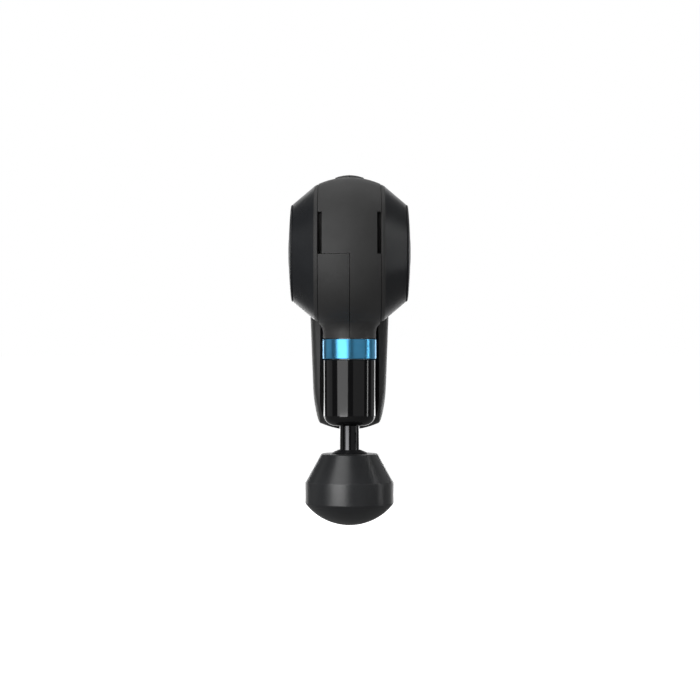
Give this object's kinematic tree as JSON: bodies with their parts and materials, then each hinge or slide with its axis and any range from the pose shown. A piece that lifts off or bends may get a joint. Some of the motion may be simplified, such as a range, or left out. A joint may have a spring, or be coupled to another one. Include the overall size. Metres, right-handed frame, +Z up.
{
  "type": "massage gun",
  "caption": "Percussive massage gun with a triangular loop handle, a swivelling drum and arm, a metallic blue ring, a glossy barrel and a pull-off foam head.",
  "frame": {"origin": "bottom centre of the overall box, on the floor plane under the middle of the gun, level with the tip of the massage head", "axes": "+Z up, from the massage head to the top bar, with the arm hanging straight down; +X across the gun towards its right side; -Y towards the viewer, the side the arm swings out to"},
  "size_m": [0.0728, 0.1734, 0.2107],
  "materials": {
    "housing": "fine moulded grain, satin",
    "side_cap": "fine moulded grain, satin",
    "gloss_black": "polished",
    "accent_blue": "anodised blue, satin",
    "black_shaft": "black coating on steel, semi gloss",
    "head_foam": "dense closed-cell foam, matt",
    "head_socket": "moulded, satin",
    "soft_rubber": "matt",
    "white_polymer": "natural acetal, satin",
    "steel": "machined",
    "aluminium": "machined",
    "bronze": "sintered bronze",
    "copper": "enamelled copper wire",
    "magnet": "sintered magnet",
    "board_green": "solder mask",
    "black_insert": "moulded, satin",
    "cell_wrap": "film wrap over a metal can",
    "clear_lens": "frosted"
  },
  "bodies": {
    "handle": {"handle_shell_left": "housing", "handle_shell_right": "housing", "side_cap_left": "side_cap", "side_cap_right": "side_cap", "side_cap_plug": "gloss_black", "pivot_bush_left": "white_polymer", "pivot_bush_right": "white_polymer", "shell_screw_1": "steel", "shell_screw_2": "steel", "shell_screw_3": "steel", "shell_screw_4": "steel", "grip_strip": "soft_rubber", "control_panel": "gloss_black", "led_window": "clear_lens", "control_board": "board_green", "button_switch": "black_insert", "battery_terminal": "black_insert", "board_lead": "soft_rubber"},
    "arm": {"arm_shell_left": "housing", "arm_shell_right": "housing", "accent_ring": "accent_blue", "barrel": "gloss_black", "guide_tube": "steel", "shaft_bushing_upper": "bronze", "shaft_bushing_lower": "bronze", "nose_seal": "soft_rubber", "index_disc": "steel", "spring_seat": "steel", "release_spring": "steel", "motor_bracket": "aluminium", "motor_bearing": "steel", "stator_core": "steel", "stator_winding": "copper"},
    "rotor": {"motor_shaft": "steel", "rotor_bell": "steel", "rotor_magnets": "magnet", "cooling_fan": "white_polymer", "crank_disc": "steel", "crank_pin": "steel", "crank_bearing": "steel"},
    "percussor": {"yoke": "steel", "percussion_shaft": "black_shaft", "yoke_pin": "steel", "shaft_o_ring": "soft_rubber"},
    "head": {"head_socket": "head_socket", "massage_head": "head_foam"},
    "release": {"release_button": "gloss_black", "lock_plate": "steel"},
    "power": {"power_button": "soft_rubber"},
    "battery": {"battery_case": "black_insert", "battery_cell_left": "cell_wrap", "battery_cell_right": "cell_wrap", "battery_end_cap": "housing"},
    "latch_left": {"battery_latch_left": "soft_rubber"},
    "latch_right": {"battery_latch_right": "soft_rubber"}
  },
  "joints": [
    {"name": "arm_hinge", "type": "hinge", "parent": "handle", "child": "arm", "pos_m": [0, -0.0413, 0.163], "axis": [-1, 0, 0], "range_deg": [0, 105]},
    {"name": "percussor_slide", "type": "slide", "parent": "arm", "child": "percussor", "axis": [0, 0, -1], "range_m": [-0.008, 0.008]},
    {"name": "rotor_spin", "type": "hinge", "parent": "arm", "child": "rotor", "pos_m": [0, -0.0413, 0.163], "axis": [-1, 0, 0], "range_deg": [-90, 90]},
    {"name": "head_pull", "type": "slide", "parent": "percussor", "child": "head", "axis": [0, 0, -1], "range_m": [0, 0.03]},
    {"name": "release_press", "type": "slide", "parent": "handle", "child": "release", "axis": [1, 0, 0], "range_m": [0, 0.003], "stiffness_N_per_m": 800, "springref_m": -0.0006},
    {"name": "power_press", "type": "slide", "parent": "handle", "child": "power", "axis": [0, 0, -1], "range_m": [0, 0.0005], "stiffness_N_per_m": 800, "springref_m": -0.0006},
    {"name": "battery_slide", "type": "slide", "parent": "handle", "child": "battery", "axis": [0, 1, 0], "range_m": [0, 0.085]},
    {"name": "latch_left_press", "type": "slide", "parent": "battery", "child": "latch_left", "axis": [1, 0, 0], "range_m": [0, 0.0012], "stiffness_N_per_m": 800, "springref_m": -0.0006},
    {"name": "latch_right_press", "type": "slide", "parent": "battery", "child": "latch_right", "axis": [-1, 0, 0], "range_m": [0, 0.0012], "stiffness_N_per_m": 800, "springref_m": -0.0006}
  ],
  "couplings": [
    {"joint": "rotor_spin", "follows": "percussor_slide", "rad_per_m": 196}
  ]
}
